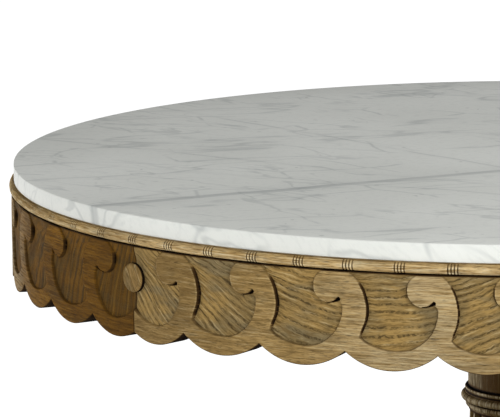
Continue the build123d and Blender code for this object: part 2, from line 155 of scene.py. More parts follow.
def fit(piece, material, node, sharp):  # the piece stands in for the node; sharp is an edge's angle
    piece.data.set_sharp_from_angle(angle=sharp * degree)
    coat(piece, material)
    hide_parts(node)
    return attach(piece, "table")


class Value:  # a shader socket that takes part in arithmetic
    def __init__(self, finish, socket):
        self.finish = finish
        self.socket = socket

    def math(self, operation, *others):
        return self.finish.add("Math", {"operation": operation}, [self, *others])

    def __add__(self, other):
        return self.math("ADD", other)

    def __mul__(self, other):
        return self.math("MULTIPLY", other)

    def __sub__(self, other):
        return self.math("SUBTRACT", other)

    def __rsub__(self, other):
        return self.finish.add("Math", {"operation": "SUBTRACT"}, [other, self])

    __radd__ = __add__
    __rmul__ = __mul__

    def size(self):
        return self.math("ABSOLUTE")

    def part(self):
        return self.math("FRACT")

    def most(self, other):
        return self.math("MAXIMUM", other)

    def least(self, other):
        return self.math("MINIMUM", other)

    def between(self, low, high):  # 0 below low, 1 above high, smooth between
        settings = {"interpolation_type": "SMOOTHSTEP"}
        ends = {"From Min": low, "From Max": high}
        return self.finish.add("MapRange", settings, {"Value": self, **ends})


class Finish:  # one material, built from its principled shader backwards
    def __init__(self, name, **sockets):
        self.material = bpy.data.materials.new(name)
        self.material.use_nodes = True
        self.tree = self.material.node_tree
        self.shader = self.tree.nodes["Principled BSDF"]
        for key, value in sockets.items():
            self.shader.inputs[key.replace("_", " ")].default_value = value

    def add(self, kind, settings=None, inputs=(), output=0):  # any node: its type, settings, then sockets
        node = self.tree.nodes.new("ShaderNode" + kind)
        for key, value in (settings or {}).items():
            setattr(node, key, value)
        for key, value in (inputs.items() if isinstance(inputs, dict) else enumerate(inputs)):
            if isinstance(value, Value):
                self.tree.links.new(value.socket, node.inputs[key])
            else:
                node.inputs[key].default_value = value
        return Value(self, node.outputs[output])

    def place(self, uv=False):  # where on the piece: its own UV map in metres, or Object coordinates
        if uv:
            return self.add("UVMap", {"uv_map": "grain"})
        return self.add("TexCoord", output=3)

    def mark(self, name):  # a value that the mesh carries at its points
        return self.add("Attribute", {"attribute_name": name}, output=2)

    def mapped(self, place, scale=(1, 1, 1), turn=(0, 0, 0), move=(0, 0, 0)):  # scaled, turned, then moved
        return self.add("Mapping", {}, {0: place, 1: move, 2: turn, 3: scale})

    def axes(self, place):  # its x, y and z
        node = self.add("SeparateXYZ", {}, [place])
        return [Value(self, socket) for socket in node.socket.node.outputs]

    def noise(self, place, scale=1.0, detail=3.0, rough=0.5):
        inputs = {"Vector": place, "Scale": scale, "Detail": detail, "Roughness": rough}
        return self.add("TexNoise", {}, inputs)

    def drawn(self, place, along, across, detail=2.0, rough=0.5):  # noise that is longer along the first axis
        return self.noise(self.mapped(place, (along, across, across)), 1.0, detail, rough)

    def mix(self, factor, a, b):  # of two colours
        ends = {6: a if isinstance(a, Value) else (*a, 1), 7: b if isinstance(b, Value) else (*b, 1)}
        return self.add("Mix", {"data_type": "RGBA"}, {0: factor, **ends}, output=2)

    def layered(self, colour, tones, *layers):  # the colour under layers, each a factor and a tone's name
        for factor, tone in layers:
            colour = self.mix(factor, colour, tones[tone])
        return colour

    def shifted(self, place, by, strength):  # the place moved by a noise colour
        away = self.add("VectorMath", {"operation": "SUBTRACT"}, [by, (0.5, 0.5, 0.5)])
        away = self.add("VectorMath", {"operation": "SCALE"}, {0: away, "Scale": strength})
        return self.add("VectorMath", {"operation": "ADD"}, [place, away])

    def noiseColour(self, place, scale, detail=2.0):  # three noises in one colour
        inputs = {"Vector": place, "Scale": scale, "Detail": detail}
        return self.add("TexNoise", {}, inputs, output=1)

    def bump(self, height, distance, strength=1.0):
        inputs = {"Strength": strength, "Distance": distance, "Height": height}
        return self.add("Bump", {}, inputs)

    def link(self, **sockets):  # feeds the shader's sockets
        for key, value in sockets.items():
            self.tree.links.new(value.socket, self.shader.inputs[key.replace("_", " ")])
        return self.material


oakTones = {
    "pale": (0.440, 0.290, 0.112), "tan": (0.315, 0.200, 0.070), "brown": (0.135, 0.078, 0.023),
    "gold": (0.355, 0.225, 0.074), "floor": (0.250, 0.168, 0.064), "grey": (0.195, 0.152, 0.080),
    # the wax tone and the darkest tone paint shade in recesses and under edges, over some real dark wax; the
    # darkest also fills checks
    "pore": (0.045, 0.028, 0.010), "wax": (0.050, 0.025, 0.007), "waxAndShade": (0.0045, 0.0020, 0.0007),
    "wornAndHighlight": (0.600, 0.460, 0.240), "limed": (0.560, 0.455, 0.275),
    "wearAndHighlight": 0.35,  # how much of the pale tone shows on a crest, as painted highlight with some wear
}


def oakFinish(name, tones=oakTones, uv=True, carved=False, turned=False, depth=0.0003):
    # grain lines are noise drawn out along the grain, and pores are its darkest dashes; in the hollows the
    # noise follows the yearly rings, a saw wave of the distance through the board that slow noise wavers
    finish = Finish(name, Specular_IOR_Level=0.06)
    place = finish.place(uv)
    if turned:
        place = finish.mapped(place, turn=(0, 0, -90 * degree))
    waver = finish.noiseColour(finish.mapped(place, (6, 30, 30)), 1.0)
    bent = finish.shifted(place, waver, 0.005)
    slow = finish.drawn(place, 5, 14)
    blotch = finish.drawn(place, 16, 45, 3.0)
    band = finish.drawn(bent, 9, 170, 3.0, 0.6)
    streak = finish.drawn(bent, 30, 480, 3.0, 0.7)
    fine = finish.drawn(bent, 90, 1300, 2.0, 0.6)
    pore = finish.drawn(bent, 110, 1500, 1.0).between(0.60, 0.68)
    check = finish.drawn(bent, 42, 360).between(0.67, 0.73)
    ground = finish.mix(slow.between(0.35, 0.65), tones["pale"], tones["tan"])
    colour = finish.layered(
        ground, tones,
        (blotch.between(0.50, 0.72) * 0.55, "grey"),
        (band.between(0.40, 0.64) * 0.50, "brown"),
        ((1 - streak.between(0.30, 0.47)) * 0.50, "wornAndHighlight"),
        (streak.between(0.48, 0.66) * 0.60, "brown"),
        (fine.between(0.50, 0.68) * 0.45, "pore"),
        (pore * 0.55, "pore"),
        (check * 0.70, "waxAndShade"))
    height = 0.7 - streak * 0.6 - pore * 0.6 - fine * 0.4 - check * 0.5
    rough = 0.62 + streak * 0.16
    if not carved:
        return finish.link(Base_Color=colour, Normal=finish.bump(height, depth), Roughness=rough)

    hollow, waxAndShade, wornAndHighlight, limed = (finish.mark(key) for key in ("hollow", "waxAndShade", "wornAndHighlight", "limed"))
    here = finish.place()
    ring = finish.mark("layers") + finish.noise(here, 13.0, 2.0) * 1.3 + finish.noise(here, 75.0, 2.0) * 0.35
    along, across = finish.axes(place)[:2]

    def flow(lengthwise, crosswise, detail=2.0):  # noise drawn out along the rings
        path = [along * lengthwise, ring * crosswise, across * 0.1]
        return finish.noise(finish.add("CombineXYZ", {}, path), 1.0, detail, 0.6)

    early = ring.part()  # 0 to 1 through each year
    porous = early.between(0.0, 0.20) * (1 - early.between(0.30, 0.62))
    dash = flow(240.0, 5.0, 1.0).between(0.40, 0.58)
    strong = flow(16.0, 0.8).between(0.30, 0.60)
    broken = porous * (dash * 0.7 + 0.3) * (strong * 0.65 + 0.35)
    strands = flow(34.0, 2.6, 3.0)
    threads = flow(110.0, 9.0)
    ground = finish.mix(finish.noise(here, 24.0, 3.0).between(0.38, 0.62), tones["gold"], tones["floor"])
    floor = finish.layered(
        ground, tones,
        (blotch.between(0.48, 0.66) * 0.70, "grey"),
        (strands.between(0.50, 0.68) * 0.70, "brown"),
        ((1 - strands.between(0.30, 0.45)) * 0.45, "wornAndHighlight"),
        (threads.between(0.50, 0.70) * 0.50, "pore"),
        (broken * 0.85, "pore"))
    colour = finish.layered(
        colour, tones,
        (limed.most(0.0) * streak.between(0.75, 0.35), "limed"),
        # below zero the limed mark paints shade: brown, darker toward the curl joints
        ((0.0 - limed).most(0.0), "brown"))
    colour = finish.mix(hollow, colour, floor)
    # painted shade: the mark darkens walls, creases, slots and undersides to dark wax brown, then near black
    waxAndShadeCover = (waxAndShade * (streak * 0.5 + 0.80)).least(1.0)
    colour = finish.layered(
        colour, tones,
        # painted highlight: the mark pales crests, fillets and the bead's front, with some wear, and one side
        # of the neck as painted light
        (wornAndHighlight * tones["wearAndHighlight"] * streak.between(0.60, 0.40), "wornAndHighlight"),
        (waxAndShadeCover.between(0.05, 0.60), "wax"),
        (waxAndShadeCover.between(0.55, 0.95), "waxAndShade"))
    height = height - hollow * (broken * 0.9 + strands * 0.8)
    rough = (rough + waxAndShadeCover * 0.30).least(0.95)
    return finish.link(Base_Color=colour, Normal=finish.bump(height, depth), Roughness=rough)


marbleTones = {
    "ground": (0.795, 0.800, 0.755), "cloud": (0.720, 0.725, 0.680), "vein": (0.320, 0.340, 0.335),
    "band": (0.450, 0.462, 0.445), "spot": (0.200, 0.205, 0.200),
    "lean": (0.95, 0.30),  # how far a vein shifts along x and y for each metre down through the slab
    "broad": 0.005,  # a long vein that is wider than this keeps on across the slab
}
# Long veins: a point on each in metres, its direction in degrees, half its width in metres and its strength
longVeins = [(-0.256, -0.250, 29.0, 0.0095, 0.62), (-0.250, 0.130, -48.0, 0.0022, 0.50),
             (-0.430, 0.010, -32.0, 0.0022, 0.50), (0.330, -0.160, -57.0, 0.0028, 0.45),
             (0.050, -0.330, -24.0, 0.0020, 0.45)]


def marbleFinish(name, tones=marbleTones):
    # thin veins lie where wavered noise crosses its middle value or where wavered cells meet, faded by noise,
    # and long ones are wavered straight lines; every vein leans as it goes down through the slab
    finish = Finish(name, Specular_IOR_Level=0.30)
    place = finish.place()
    x, y, z = finish.axes(place)
    leanX, leanY = tones["lean"]
    leaned = finish.add("CombineXYZ", {}, [x + z * leanX, y + z * leanY, z * 0.1])
    top = slabHigh * mm  # where the long veins' places are
    waver = finish.noiseColour(leaned, 6.0, 3.0)
    bent = finish.shifted(leaned, waver, 0.045)
    bent = finish.shifted(bent, finish.noiseColour(leaned, 34.0, 3.0), 0.007)

    def drawnOut(turn, scale, move):  # coordinates turned by the vein's direction, then stretched along it
        turned = finish.mapped(bent, turn=(0, 0, -turn * degree))
        return finish.mapped(turned, scale, move=(move, 0.7 * move, 0))

    def cracks(turn, scale, width, move=0.0):  # thin borders between stretched cells
        inputs = {"Vector": drawnOut(turn, scale, move), "Scale": 1.0}
        border = finish.add("TexVoronoi", {"feature": "DISTANCE_TO_EDGE"}, inputs)
        return 1 - border.between(0.0, width)

    def wisps(turn, scale, width, move=0.0):  # where stretched noise passes through its middle value
        level = finish.noise(drawnOut(turn, scale, move), 1.0, 3.0, 0.5)
        return 1 - (level - 0.5).size().between(0.0, width)

    patch = finish.noise(leaned, 7.0, 2.0)
    fade = finish.noise(leaned, 10.0, 2.0)
    grit = finish.noise(leaned, 26.0, 2.0)
    thin = wisps(18, (2.2, 9.0, 4.0), 0.016) * fade.between(0.38, 0.56)
    fine = wisps(-38, (5.0, 16.0, 6.0), 0.022, 3.1) * patch.between(0.42, 0.58)
    tiny = cracks(30, (14.0, 32.0, 20.0), 0.045, 7.7) * patch.between(0.56, 0.66) * grit.between(0.42, 0.6)
    cleft = cracks(-20, (7.0, 13.0, 8.0), 0.030, 1.3) * fade.between(0.50, 0.40)
    haze = wisps(18, (2.2, 9.0, 4.0), 0.075) * fade.between(0.40, 0.70)
    ground = finish.mix(finish.noise(leaned, 3.0, 4.0).between(0.35, 0.70), tones["ground"], tones["cloud"])
    mottle = finish.noise(leaned, 120.0, 4.0, 0.7)
    ground = finish.mix(mottle.between(0.45, 0.75) * 0.20, ground, tones["band"])
    colour = finish.mix(haze * 0.16, ground, tones["band"])
    veinX, veinY = finish.axes(finish.shifted(leaned, waver, 0.022))[:2]
    for spotX, spotY, turn, width, strength in longVeins:
        cosine, sine = np.cos(turn * degree), np.sin(turn * degree)
        fromX = veinX - (spotX + leanX * top)
        fromY = veinY - (spotY + leanY * top)
        across = fromY * cosine - fromX * sine
        along = fromX * cosine + fromY * sine
        body = 1 - across.size().between(0.45 * width, 1.15 * width)
        core = 1 - (across - 0.3 * width).size().between(0.0, 0.35 * width)
        soft = 1 - across.size().between(0.0, 6.0 * width)
        colour = finish.mix(soft * (0.20 * strength), colour, tones["band"])
        if width > tones["broad"]:
            present = 1 - along.size().between(0.50, 0.85) * 0.80
        else:
            present = (1 - along.size().between(0.25, 0.50)) * fade.between(0.36, 0.52)
        colour = finish.layered(
            colour, tones,
            (body * present * strength * (0.5 + patch), "band"),
            (core * present * (0.6 * strength) * grit.between(0.35, 0.6), "vein"))
    colour = finish.layered(
        colour, tones,
        (thin * 0.36, "vein"), (fine * 0.34, "vein"), (cleft * 0.36, "vein"), (tiny * 0.30, "vein"))
    spots = finish.noise(finish.mapped(leaned, (70, 110, 60)), 1.0, 1.0).between(0.76, 0.80)
    colour = finish.mix(spots * 0.5, colour, tones["spot"])
    grain = finish.noise(place, 900.0, 2.0)
    bump = finish.bump(grain - thin * 0.4, 0.00004, 0.5)
    return finish.link(Base_Color=colour, Roughness=0.38 + grain * 0.14, Normal=bump)


def plainFinish(name, colour, dark, roughness, scale=60.0, stretch=(1, 1, 1), **sockets):
    # one colour that wanders to a darker one over a noise, with a finer noise in its relief
    finish = Finish(name, **sockets)
    place = finish.mapped(finish.place(), stretch)
    patch = finish.noise(place, scale, 4.0, 0.6)
    speck = finish.noise(place, scale * 14, 2.0)
    tone = finish.mix(patch.between(0.35, 0.70), colour, dark)
    tone = finish.mix(speck.between(0.58, 0.75) * 0.3, tone, dark)
    rough = roughness - 0.06 + patch * 0.16
    return finish.link(Base_Color=tone, Roughness=rough, Normal=finish.bump(speck, 0.00005))


def plyFinish(name):  # face veneer with long grain, and thin plies that show as bands at the edge
    finish = Finish(name)
    place = finish.place()
    streak = finish.noise(finish.mapped(place, (4, 160, 2)), 1.0, 5.0, 0.6)
    ply = (finish.axes(place)[2] * 420).part()
    colour = finish.mix(streak.between(0.3, 0.7), (0.52, 0.38, 0.21), (0.38, 0.25, 0.12))
    line = ply.between(0.45, 0.55) * (1 - ply.between(0.9, 1.0))
    colour = finish.mix(line * 0.35, colour, (0.20, 0.12, 0.06))
    return finish.link(Base_Color=colour, Roughness=0.5 + streak * 0.2, Normal=finish.bump(streak, 0.0001))


# The other oak tones differ from the first in these
# the left side's two panels take these darker tones: painted shade on the side away from the key light
leftTones = {
    **oakTones, "pale": (0.225, 0.102, 0.008), "tan": (0.140, 0.060, 0.004), "brown": (0.054, 0.022, 0.002),
    "gold": (0.155, 0.070, 0.007), "floor": (0.105, 0.050, 0.006), "grey": (0.085, 0.048, 0.012),
    "wornAndHighlight": (0.270, 0.145, 0.026),
}
# the column's tones, and the plinth's made from them, are far darker than the apron's: painted shade for
# their place under the table
turnedTones = {
    **oakTones, "pale": (0.150, 0.100, 0.030), "tan": (0.064, 0.036, 0.005), "brown": (0.022, 0.011, 0.001),
    "grey": (0.230, 0.195, 0.135), "wornAndHighlight": (0.470, 0.400, 0.270), "wearAndHighlight": 0.9,
}
plinthTones = {
    **turnedTones, "pale": (0.180, 0.120, 0.045), "tan": (0.110, 0.068, 0.020),
    "brown": (0.045, 0.025, 0.006), "grey": (0.150, 0.120, 0.070),
}
bossTones = {**oakTones, "pale": (0.290, 0.180, 0.062), "tan": (0.215, 0.130, 0.042)}
beadTones = {
    **oakTones, "pale": (0.620, 0.425, 0.190), "tan": (0.460, 0.300, 0.115), "brown": (0.190, 0.108, 0.033),
    "grey": (0.300, 0.250, 0.150), "wornAndHighlight": (0.800, 0.680, 0.440), "wearAndHighlight": 0.8,
}
railTones = {**oakTones, "pale": (0.52, 0.38, 0.21), "tan": (0.44, 0.30, 0.15)}

carvedOak = oakFinish("carvedOak", carved=True)
carvedOakDark = oakFinish("carvedOakDark", leftTones, carved=True)
bossOak = oakFinish("bossOak", bossTones, carved=True)
mouldingOak = oakFinish("mouldingOak", beadTones, carved=True, depth=0.0005)
columnOak = oakFinish("columnOak", turnedTones, turned=True, carved=True)
plinthOak = oakFinish("plinthOak", plinthTones, uv=False)
railOak = oakFinish("railOak", railTones, uv=False)
blockOak = plainFinish("blockOak", (0.50, 0.36, 0.20), (0.34, 0.22, 0.11), 0.6, 20.0, (1, 1, 9))
carrara = marbleFinish("carrara")
plywood = plyFinish("plywood")
blackPlate = plainFinish("blackPlate", (0.030, 0.030, 0.032), (0.018, 0.018, 0.019), 0.5, 220.0)
zinc = plainFinish("zinc", (0.60, 0.60, 0.58), (0.42, 0.42, 0.40), 0.34, 90.0, Metallic=1.0)
screwSteel = plainFinish("screwSteel", (0.56, 0.52, 0.38), (0.38, 0.34, 0.22), 0.36, 120.0, Metallic=1.0)
glideSteel = plainFinish("glideSteel", (0.50, 0.50, 0.50), (0.33, 0.33, 0.33), 0.30, 80.0, Metallic=1.0)
clearPad = plainFinish("clearPad", (0.80, 0.82, 0.80), (0.70, 0.72, 0.70), 0.25, 200.0,
                       Transmission_Weight=0.6)
print("finishes made")

panelShape = {
    "firstBay": 7.2, "wideBay": 9.45, "wideBays": 4,  # degrees from a curl joint on
    "pairs": 4, "firstJoint": -135.0,  # the first curl joint, in degrees from +X
    "handShift": (-2.4, -2.8, -1.8, 1.2, 1.5),  # how far the carver set each hollow along, in mm
    "step": 0.86,  # size of the carved grid
    "wall": 0.9,  # a carved wall's width
    "edgeRound": 1.8, "softEdge": 0.35,  # the width and depth of the worn edge beside it
    "eyeDepth": 5.0,  # how much deeper than the floor the slot is cut
    "trunk": 14.0,  # half the root that the last two waves share
    "lipRound": 2.0, "seam": 0.6,  # the worn lower edge and the joint between panels
    "lime": 0.45, "limedAt": 350.0, "limedWide": 75.0,  # white left in the grain
    "jointShade": 0.50, "jointShadeTo": 190.0,  # painted shade, darker from the joint on
    "ringStart": 27.5, "ringLean": 24.4, "ringPitch": 3.4,  # the board's yearly rings
    "darkPanels": (1, 8), "darkLean": 6.0,  # the pair of panels on the table's left side, darker as painted shade, and their rings' lean
    "newBoard": (7.3, 1.7, 0.31),  # each board's own rings and grain
}
apronInner, apronOuter, apronLow, apronHigh = nodeReach("apron_panel_2")
apronDrop = apronHigh - apronLow
mmPerDegree = apronOuter * degree

# Each hollow's outline in mm: along the face from the left cusp, and down from the apron's top
wideOutline = np.vstack([
    smoothPath([(-8, -4), (5.3, 3), (14, 12), (19.5, 22), (22.3, 33), (23.0, 41), (21.6, 51), (18.0, 60),
                (14.6, 69)]),
    smoothPath([(14.6, 69), (21.5, 74.5), (34, 79.6), (46.5, 82), (59, 82.4), (72, 79.6), (84, 72), (93, 62),
                (98, 50), (99.8, 40), (98.6, 34.5), (95.2, 32.2), (90.0, 33.2), (84.5, 34.3)])[1:-1],
    arcPoints((83.5, 17.3), 17.0, 88, 262, 30),
    [(84, -4)],
])
narrowOutline = np.vstack([
    [(-6, -4), (-6, 72)],
    smoothPath([(0, 66.5), (7.5, 73), (20, 79.5), (32.5, 82.4), (45, 82), (57, 76), (65, 67), (70.5, 58),
                (73.4, 49), (73.8, 41), (72.4, 36), (68.5, 34), (63.0, 34.8), (57.5, 35.6)])[:-1],
    arcPoints((55.5, 18), 17.5, 86, 262, 30),
    [(54, -4)],
])
# Where each hollow's floor lies: along, down, depth
wideFloor = [(18, 0, 0.8), (60, 0, 0.8), (15, 20, 4.4), (23, 40, 5.2), (18, 58, 4.8), (15, 69, 3.4),
             (36, 80, 3.0), (60, 82, 3.0), (84, 72, 3.2), (98, 50, 3.4), (98, 36, 2.6), (89, 35, 2.4),
             (76, 34, 3.8), (66, 17, 4.7), (70, 5, 1.6), (46, 38, 4.8), (60, 55, 4.2), (40, 58, 4.6)]
narrowFloor = [(0, 0, 1.0), (32, 0, 0.8), (0, 20, 4.6), (0, 50, 5.0), (0, 68, 3.8), (20, 80, 3.0),
               (45, 82, 3.0), (66, 67, 3.2), (73, 48, 3.2), (70, 36, 2.4), (60, 36, 2.6), (46, 32, 4.2),
               (38, 18, 4.7), (44, 5, 1.6), (22, 45, 4.8)]
# The slot under each curl: its narrow end and its round end
eyes = {"wide": ((82.5, 34.6), (95.0, 29.8)), "narrow": ((55.5, 35.8), (68.6, 32.2))}


def floorDepth(u, down, marks):  # the marks' depths, each weighted by (distance squared + 5 squared) ^ -1.5
    total, weights = 0.0, 0.0
    for markU, markDown, depth in marks:
        weight = ((u - markU) ** 2 + (down - markDown) ** 2 + 5.0 ** 2) ** -1.5
        total = total + weight * depth
        weights = weights + weight
    return total / weights


def eyeDepth(u, down, ends):  # 1 in the slot, whose half width is 0.25 + 1.45 share squared from end to end
    (ax, ay), (bx, by) = ends
    length = np.hypot(bx - ax, by - ay)
    share = np.clip(((u - ax) * (bx - ax) + (down - ay) * (by - ay)) / length ** 2, 0, 1)
    sag = 1.1 * np.sin(np.pi * share)
    distance = np.hypot(u - ax - share * (bx - ax), down - ay - sag - share * (by - ay))
    return smoothStep(0.7, -0.5, distance - (0.25 + 1.45 * share ** 2))


def scallopDrop(u):
    # how far down the lower edge lies: in each bay, lowest - radius + root(radius^2 - (x - middle)^2)
    first = panelShape["firstBay"] * mmPerDegree
    wide = panelShape["wideBay"] * mmPerDegree

    def arc(x, middle, sag):  # through the lowest point, and sag higher at a cusp
        radius = (middle ** 2 + sag ** 2) / (2 * sag)
        return apronDrop - radius + np.sqrt(np.maximum(radius ** 2 - (x - middle) ** 2, 0))

    x = np.maximum(u - first, 0) % wide
    x = np.where(u >= first + panelShape["wideBays"] * wide - 1e-6, 0, x)
    return np.where(u < first, arc(u, 0.424 * first, 9), arc(x, wide / 2, 18))


def carvedPanel():
    # one right-hand panel's face: along, down and inward depth, and what its points carry. The depth is the
    # floor's depth times a smooth step of the distance into the hollow, plus worn edge, slot, lip and seam
    shape = panelShape
    first = shape["firstBay"] * mmPerDegree
    wide = shape["wideBay"] * mmPerDegree
    bays = [first] + [wide] * shape["wideBays"]
    stops, at = [np.array([0.0])], 0.0
    for width in bays:  # columns meet every cusp
        count = int(round(width / shape["step"]))
        stops.append(at + width * np.arange(1, count + 1) / count)
        at += width
    columns = np.concatenate(stops)
    rows = int(round(apronDrop / shape["step"]))
    u, share = np.meshgrid(columns, np.linspace(0, 1, rows + 1), indexing="ij")
    down = share * scallopDrop(u)
    end = columns[-1]
    field = np.full_like(u, -np.inf)  # distance into the nearest hollow
    floor = np.zeros_like(u)
    eye = np.zeros_like(u)
    start = 0.0
    for bay, width in enumerate(bays):
        narrow = bay == 0
        outline, marks = (narrowOutline, narrowFloor) if narrow else (wideOutline, wideFloor)
        squeeze = 1 - shape["trunk"] / width if bay == len(bays) - 1 else 1.0
        left = start + shape["handShift"][bay]
        near = (columns > start - 12) & (columns < start + width + 5)
        x, y = (u[near] - left) / squeeze, down[near]
        inside, nearX, nearY = insideDistance(x, y, outline)
        # grid points beside the edge move onto it, and the next ones onto the foot of the wall
        away = np.maximum(np.abs(inside), 1e-6)
        onEdge = np.abs(inside) < 0.5 * shape["step"]
        onFoot = (inside >= 0.5 * shape["step"]) & (inside < 1.45 * shape["step"])
        goal = np.where(onEdge, 0.0, np.where(onFoot, shape["wall"], inside))
        moved = np.abs(goal - inside) * np.sign(goal - inside) * np.sign(inside)
        free = (y > 0.5) & (u[near] > 0.5) & (u[near] < end - 0.5) & (share[near] < 0.97)
        moved = np.where(free, moved, 0)
        x = x + (x - nearX) / away * moved
        y = y + (y - nearY) / away * moved
        inside = np.where(free, goal, inside)
        u[near], down[near] = x * squeeze + left, y
        deeper = inside > field[near]
        field[near] = np.where(deeper, inside, field[near])
        floor[near] = np.where(deeper, floorDepth(x, y, marks), floor[near])
        eye[near] = np.maximum(eye[near], eyeDepth(x, y, eyes["narrow" if narrow else "wide"]))
        start += width
    cut = smoothStep(-0.05, shape["wall"], field)
    rounded = smoothStep(-shape["edgeRound"], 0, field) * (1 - cut) * smoothStep(1, 4, floor)
    depth = floor * cut + rounded * shape["softEdge"] + eye * shape["eyeDepth"]
    hollow = smoothStep(0.0, 1.2, field)
    strength = smoothStep(3.0, 4.7, floor)  # deep walls get more painted shade
    # painted shade: dark bands on the hollows' walls, in the slot under each curl, and faintly on the floor
    # beside the walls
    darkWall = smoothStep(-0.25, 0.15, field) * smoothStep(1.6, 0.9, field)
    waxAndShade = np.maximum(darkWall * (0.26 + 0.64 * strength), smoothStep(0.1, 0.6, eye))
    waxAndShade = np.maximum(waxAndShade, 0.14 * bellCurve(field - 1.5, 3.5) * strength * (field > 0))
    # a pale line on the crest beside each deep wall: painted highlight with some wear
    wornAndHighlight = bellCurve(field + 1.2, 0.7) * strength
    # worn lower edge, and a fine seam at each end of the panel
    fromEdge = (1 - share) * scallopDrop(u)
    lip = 1 - np.clip(fromEdge / shape["lipRound"], 0, 1)
    depth += shape["lipRound"] * 0.6 * (1 - np.sqrt(np.maximum(1 - lip ** 2, 0)))
    fromEnd = np.minimum(u, end - u)
    depth += shape["seam"] * smoothStep(1.3, 0, fromEnd)
    waxAndShade = np.maximum(waxAndShade, 0.85 * smoothStep(1.2, 0.2, fromEnd))
    # painted shade along the lower edge
    waxAndShade = np.maximum(waxAndShade, 0.75 * smoothStep(1.3, 0.0, fromEdge))
    waxAndShade = np.maximum(waxAndShade, 0.75 * smoothStep(2.2, 0.3, down))  # painted shade under the moulding
    limed = shape["lime"] * bellCurve(u - shape["limedAt"], shape["limedWide"])
    # painted shade: the limed mark goes below zero toward the joint
    limed = limed - shape["jointShade"] * smoothStep(shape["jointShadeTo"], 0, u)
    marks = {"hollow": hollow, "waxAndShade": waxAndShade, "wornAndHighlight": wornAndHighlight, "limed": limed}
    return u, down, depth, marks


def panelPiece(number):
    # the carved face, a bottom edge, the plain back and the top edge make one closed outline at each column,
    # whose angle from the curl joint is (distance along the face) / radius
    pair, mirrored = (number - 1) // 2, number % 2 == 1
    dark = number in panelShape["darkPanels"]
    turn = panelShape["firstJoint"] + 360 / panelShape["pairs"] * pair
    side = -1 if mirrored else 1
    flat = np.ones((len(faceAlong), 7))  # the back's seven points, from the bottom to the top
    along = np.hstack([faceAlong, faceAlong[:, -1:] * flat])
    radius = np.hstack([apronOuter - faceDepth, apronInner * flat])
    height = apronHigh - np.hstack([faceDown, np.linspace(1, 0, 7) * faceDown[:, -1:]])
    angle = (turn + side * along / mmPerDegree) * degree
    points = aroundAxis(radius, angle, height)
    lean = (panelShape["darkLean"] if dark else panelShape["ringLean"]) * degree
    fromMiddle = (along / mmPerDegree - panelShape["ringStart"]) * degree
    layers = radius * np.cos(fromMiddle) * np.cos(lean) + height * np.sin(lean)
    ringShift, alongShift, acrossShift = panelShape["newBoard"]
    # painted shade: the back, the bottom and the top edge take the darkest mark, near black
    marks = {key: np.hstack([values, (key == "waxAndShade") * flat]) for key, values in faceMarks.items()}
    marks["layers"] = layers / panelShape["ringPitch"] + number * ringShift
    uv = np.stack([along * side * mm + number * alongShift, height * mm + number * acrossShift], axis=-1)
    piece = gridMesh(f"carvedPanel{number}", points, uv, marks, loopV=True, capEnds=True, flip=mirrored)
    return fit(piece, carvedOakDark if dark else carvedOak, f"apron_panel_{number}", 50)


faceAlong, faceDown, faceDepth, faceMarks = carvedPanel()
for number in range(1, 2 * panelShape["pairs"] + 1):
    panelPiece(number)
print("apron panels carved:", faceAlong.shape, "grid")

bossShape = {
    "radius": 16.0, "rise": 7.2, "round": 3.6, "dome": 1.0, "spokes": 72,
    "drop": 35.0, "floor": 6.0, "shift": -1.8,  # down from the apron's top, in from its face, and along it
    "grainTurn": 1.1,  # radians between the boss's grain and the apron's
}


def bossPiece():
    # turned buttons on radial axes, with a rounded rim: the face stands out by
    # rise - dome (distance from the middle / radius)^2
    shape = bossShape
    flat = shape["radius"] - shape["round"]
    rim = arcPoints((flat, shape["rise"] - shape["round"]), shape["round"], 90, 0, 7)
    faceRadius = np.linspace(0.0, flat, 12)[:-1]
    dome = shape["rise"] - shape["dome"] * (faceRadius / shape["radius"]) ** 2
    profile = np.vstack([np.column_stack([faceRadius, dome]), rim, [(shape["radius"], 0.0)], [(0.0, 0.0)]])
    spin = np.linspace(0, 2 * np.pi, shape["spokes"], endpoint=False)[:, None]
    r, out = profile[None, :, 0], profile[None, :, 1]
    # painted shade on each boss's side wall, near black
    wall = smoothStep(shape["rise"] - 1.6, shape["rise"] - 3.0, out)
    bosses = []
    for pair in range(panelShape["pairs"]):
        angle = (panelShape["firstJoint"] + 360 / panelShape["pairs"] * pair) * degree
        outward = np.array([np.cos(angle), np.sin(angle), 0])
        sideways = np.array([-np.sin(angle), np.cos(angle), 0])
        upward = np.array([0, 0, 1.0])
        seat = outward * (apronOuter - shape["floor"]) + upward * (apronHigh - shape["drop"])
        seat = seat + sideways * shape["shift"]
        points = (seat + (r * np.cos(spin))[..., None] * sideways + (r * np.sin(spin))[..., None] * upward
                  + (out + 0 * spin)[..., None] * outward)
        turned = spin + shape["grainTurn"]
        uv = np.stack([r * np.cos(turned), r * np.sin(turned)], axis=-1) * mm + pair * 0.4
        bosses.append(gridMesh(f"boss{pair}", points * mm, uv, {"waxAndShade": 0.92 * wall}, loopU=True))
    with bpy.context.temp_override(active_object=bosses[0], selected_editable_objects=bosses):
        bpy.ops.object.join()
    boss = bosses[0]
    boss.name = boss.data.name = "curlBosses"
    weld(boss, 0.00001)
    return fit(boss, bossOak, "joint_bosses", 40)


bossPiece()
print("bosses made")

mouldingShape = {
    "groups": 17,  # groups of rings in a quarter
    "offset": 11.1,  # degrees from a curl joint to a joint in the moulding
    "grooves": (-5.2, -1.75, 1.75, 5.2),  # mm from a group's middle
    "grooveDepth": 1.3, "grooveWidth": 0.85,
    "groupReach": 8.1, "fine": 0.45,  # the fine columns' reach from a group's middle, and their spacing
    "quirk": 0.7, "gap": 1.0, "inset": 0.05,
    "beadRows": 17,
}


